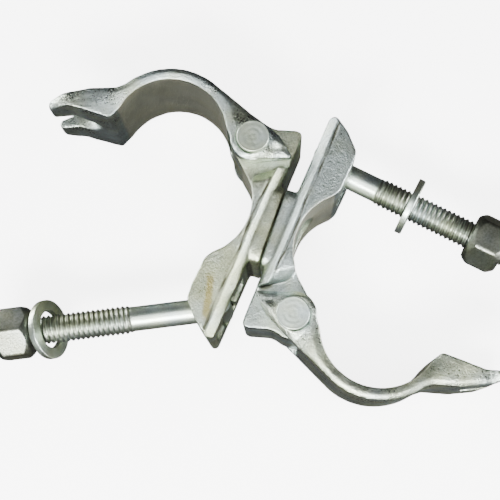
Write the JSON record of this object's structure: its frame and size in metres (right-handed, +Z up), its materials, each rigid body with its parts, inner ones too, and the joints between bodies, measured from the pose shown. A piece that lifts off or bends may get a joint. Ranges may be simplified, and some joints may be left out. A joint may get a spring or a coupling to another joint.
{
  "type": "swivel scaffold coupler",
  "caption": "Forged swivel coupler for scaffold tube: two saddles back to back on a rivet, each with a hinged flap, a T-bolt, a washer and a nut.",
  "frame": {"origin": "centre of the coupler's box on the surface that it lies on", "axes": "+X from half A to half B, along the swivel axis; +Z up, along the tubes that the seats take; +Y across, towards the hinge end of half A"},
  "size_m": [0.2184, 0.1424, 0.0486],
  "materials": {
    "saddle_zinc": "hot-dip galvanised forging, fine matt grain",
    "flap_zinc": "hot-dip galvanised forging, fine matt grain",
    "rivet_steel": "cold-headed steel, satin",
    "bolt_zinc": "bright zinc plate, satin",
    "washer_steel": "zinc plate, satin",
    "nut_steel": "worn zinc plate, satin"
  },
  "bodies": {
    "half_a": {"saddle_a": "saddle_zinc", "hinge_rivet_a": "rivet_steel", "swivel_rivet": "rivet_steel"},
    "half_b": {"saddle_b": "saddle_zinc", "hinge_rivet_b": "rivet_steel"},
    "flap_a": {"flap_a": "flap_zinc"},
    "flap_b": {"flap_b": "flap_zinc"},
    "t_bolt_a": {"t_bolt_a": "bolt_zinc"},
    "t_bolt_b": {"t_bolt_b": "bolt_zinc"},
    "nut_a": {"nut_a": "nut_steel"},
    "nut_b": {"nut_b": "nut_steel"},
    "washer_a": {"washer_a": "washer_steel"},
    "washer_b": {"washer_b": "washer_steel"}
  },
  "joints": [
    {"name": "swivel", "type": "hinge", "parent": "half_a", "child": "half_b", "pos_m": [-0.00043, 0.01803, 0.0243], "axis": [1, 0, 0], "continuous": true},
    {"name": "flap_a_hinge", "type": "hinge", "parent": "half_a", "child": "flap_a", "pos_m": [-0.02055, 0.05054, 0.0243], "axis": [0, 0, -1], "range_deg": [-49, 11]},
    {"name": "flap_b_hinge", "type": "hinge", "parent": "half_b", "child": "flap_b", "pos_m": [0.01969, -0.01447, 0.0243], "axis": [0, 0, -1], "range_deg": [-54.5, 5.5]},
    {"name": "t_bolt_a_swing", "type": "hinge", "parent": "half_a", "child": "t_bolt_a", "pos_m": [-0.01093, -0.01922, 0.0243], "axis": [0, 0, -1], "range_deg": [-6.5, 34.4]},
    {"name": "t_bolt_b_swing", "type": "hinge", "parent": "half_b", "child": "t_bolt_b", "pos_m": [0.01007, 0.05528, 0.0243], "axis": [0, 0, -1], "range_deg": [-34, 3.5]},
    {"name": "nut_a_travel", "type": "slide", "parent": "t_bolt_a", "child": "nut_a", "axis": [0.8957, 0.4446, 0], "range_m": [0, 0.0185]},
    {"name": "nut_b_travel", "type": "slide", "parent": "t_bolt_b", "child": "nut_b", "axis": [-0.9907, 0.1357, 0], "range_m": [-0.0137, 0.0075]},
    {"name": "washer_a_tilt", "type": "hinge", "parent": "nut_a", "child": "washer_a", "pos_m": [-0.08321, -0.0551, 0.03529], "axis": [-0.4446, 0.8957, 0], "range_deg": [0, 24]},
    {"name": "washer_b_travel", "type": "slide", "parent": "t_bolt_b", "child": "washer_b", "axis": [-0.9907, 0.1357, 0], "range_m": [-0.019, 0.02]}
  ],
  "couplings": [
    {"joint": "t_bolt_b_swing", "follows": "flap_b_hinge", "ratio": 0.62},
    {"joint": "washer_a_tilt", "follows": "nut_a_travel", "rad_per_m": 22.62}
  ]
}
